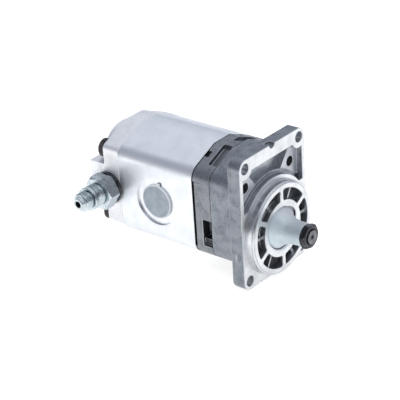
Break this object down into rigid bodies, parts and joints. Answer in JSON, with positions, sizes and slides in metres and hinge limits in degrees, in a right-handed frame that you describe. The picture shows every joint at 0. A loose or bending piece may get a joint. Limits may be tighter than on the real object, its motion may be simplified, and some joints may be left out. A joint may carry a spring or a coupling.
{
  "type": "hydraulic gear pump",
  "caption": "External gear pump: satin body between cast and machined covers, outboard bearing housing with rectangular four-bolt flange and windowed pilot, drive cone and side fitting.",
  "frame": {"origin": "on the drive axis, in the flange's mounting face", "axes": "-Y out of the drive cone, +Y back through the pump, +Z from the drive gear to the driven gear, inlet port on the -X side, outlet on the +X side"},
  "size_m": [0.1247, 0.1991, 0.1157],
  "materials": {
    "cast_housing": "die-cast skin, mottled, with machined flange face and pilot",
    "cast_cover": "die-cast skin, mottled",
    "body_aluminium": "extruded, satin, lightly anodised",
    "cover_aluminium": "machined and tumbled, bright satin",
    "bushing_aluminium": "fine turned",
    "liner_bronze": "plain bearing lining",
    "cage_brass": "pressed",
    "bright_steel": "ground and polished",
    "dull_steel": "ground, lightly oiled",
    "cone_steel": "fine ground cone with a cool satin sheen",
    "black_steel": "black oxide, lightly oiled",
    "zinc_steel": "bright zinc plate",
    "seal_rubber": "nitrile rubber",
    "black_rubber_steel": "bonded sealing washer",
    "cap_plastic": "thin moulded polyethylene"
  },
  "bodies": {
    "housing": {"bearing_housing": "cast_housing", "front_cover": "cast_cover", "pump_body": "body_aluminium", "rear_cover": "cover_aluminium", "front_bushing_block": "bushing_aluminium", "rear_bushing_block": "bushing_aluminium", "journal_liners": "liner_bronze", "front_body_seal": "seal_rubber", "rear_body_seal": "seal_rubber", "front_pressure_seal": "seal_rubber", "rear_pressure_seal": "seal_rubber", "shaft_seal": "seal_rubber", "seal_garter_spring": "bright_steel", "seal_retaining_ring": "black_steel", "bearing_outer_rings": "bright_steel", "outer_spacer": "dull_steel", "housing_retaining_ring": "black_steel", "through_bolts": "black_steel", "dowel_pins": "dull_steel", "relief_seat": "dull_steel", "relief_spring": "dull_steel", "relief_adjuster": "dull_steel", "passage_plug": "dull_steel", "adapter_seal": "black_rubber_steel", "return_adapter": "zinc_steel", "return_nipple": "zinc_steel"},
    "drive_train": {"input_shaft": "cone_steel", "shaft_nut": "black_steel", "bearing_inner_rings": "bright_steel", "inner_spacer": "dull_steel", "shaft_retaining_ring": "black_steel", "coupling_sleeve": "dull_steel", "drive_gear": "dull_steel"},
    "driven_gear_shaft": {"driven_gear": "dull_steel"},
    "ball_set": {"bearing_balls": "bright_steel", "bearing_cages": "cage_brass"},
    "poppet": {"relief_poppet": "dull_steel"},
    "port_cap": {"inlet_cap": "cap_plastic"}
  },
  "joints": [
    {"name": "drive_spin", "type": "hinge", "parent": "housing", "child": "drive_train", "pos_m": [0, 0, 0], "axis": [0, 1, 0], "continuous": true},
    {"name": "driven_spin", "type": "hinge", "parent": "housing", "child": "driven_gear_shaft", "pos_m": [0, 0, 0.031], "axis": [0, 1, 0], "continuous": true},
    {"name": "ball_set_spin", "type": "hinge", "parent": "housing", "child": "ball_set", "pos_m": [0, 0, 0], "axis": [0, 1, 0], "continuous": true},
    {"name": "relief_lift", "type": "slide", "parent": "housing", "child": "poppet", "axis": [-1, 0, 0], "range_m": [0, 0.003], "stiffness_N_per_m": 2000, "springref_m": -0.004, "deforming": ["relief_spring"]},
    {"name": "cap_pull", "type": "slide", "parent": "housing", "child": "port_cap", "axis": [-1, 0, 0], "range_m": [0, 0.016]}
  ],
  "couplings": [
    {"joint": "driven_spin", "follows": "drive_spin", "ratio": -1},
    {"joint": "ball_set_spin", "follows": "drive_spin", "ratio": 0.3976}
  ]
}
